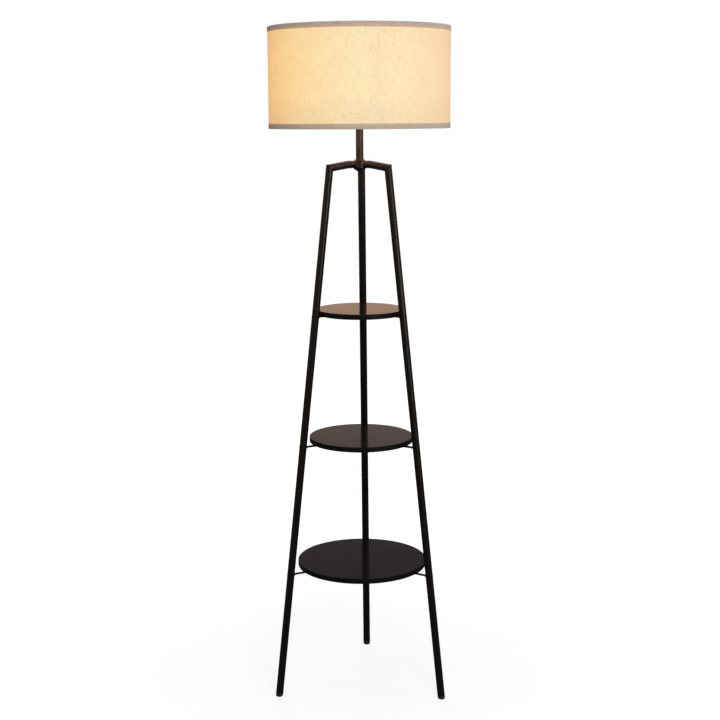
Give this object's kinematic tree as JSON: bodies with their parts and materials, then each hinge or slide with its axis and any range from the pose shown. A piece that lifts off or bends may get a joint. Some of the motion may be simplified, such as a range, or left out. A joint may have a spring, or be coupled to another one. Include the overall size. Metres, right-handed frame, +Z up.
{
  "type": "shelf floor lamp",
  "caption": "Free-standing floor lamp: splayed tubular legs carry round display shelves that grow towards the floor and meet in a small hub under a linen drum shade.",
  "frame": {"origin": "middle of the lamp's footprint on the floor; the lamp's own axis stands 11.7 mm in front of it", "axes": "+Z up, the front faces -Y with one leg at the back, +X to the right seen from the front"},
  "size_m": [0.4059, 0.4289, 1.524],
  "materials": {
    "black_metal": "satin black powder coat",
    "plated_steel": "bright zinc",
    "shelf_board": "satin black lacquer on board",
    "shade_fabric": "natural linen on a stiff liner",
    "shade_trim": "folded linen tape",
    "shade_wire": "white coated wire",
    "bulb_glass": "opal",
    "bulb_cap_metal": "bright",
    "contact_brass": "bright",
    "black_plastic": "fine satin"
  },
  "bodies": {
    "lamp": {"bottom_shelf": "shelf_board", "bottom_shelf_brackets": "black_metal", "bottom_trim": "shade_trim", "bulb_base": "bulb_cap_metal", "bulb_glass": "bulb_glass", "centre_contact": "contact_brass", "cord_grommet": "black_plastic", "foot_caps": "black_plastic", "front_leg_couplers": "plated_steel", "hub": "black_metal", "hub_cap": "black_metal", "lampholder_body": "black_plastic", "lampholder_cap": "black_plastic", "lower_leg_left": "black_metal", "lower_leg_rear": "black_metal", "lower_leg_right": "black_metal", "middle_shelf": "shelf_board", "middle_shelf_brackets": "black_metal", "post": "black_metal", "rear_leg_couplers": "plated_steel", "retaining_ring": "black_plastic", "screw_shell": "contact_brass", "second_leg_left": "black_metal", "second_leg_rear": "black_metal", "second_leg_right": "black_metal", "shade_lower_frame": "shade_wire", "shade_wall": "shade_fabric", "third_leg_left": "black_metal", "third_leg_rear": "black_metal", "third_leg_right": "black_metal", "top_ring": "shade_wire", "top_shelf": "shelf_board", "top_shelf_brackets": "black_metal", "top_trim": "shade_trim", "upper_leg_left": "black_metal", "upper_leg_rear": "black_metal", "upper_leg_right": "black_metal"},
    "switch_knob": {"switch_knob": "black_plastic"}
  },
  "joints": [
    {"name": "switch_turn", "type": "hinge", "parent": "lamp", "child": "switch_knob", "pos_m": [0.021, -0.01168, 1.326], "axis": [1, 0, 0], "continuous": true}
  ]
}
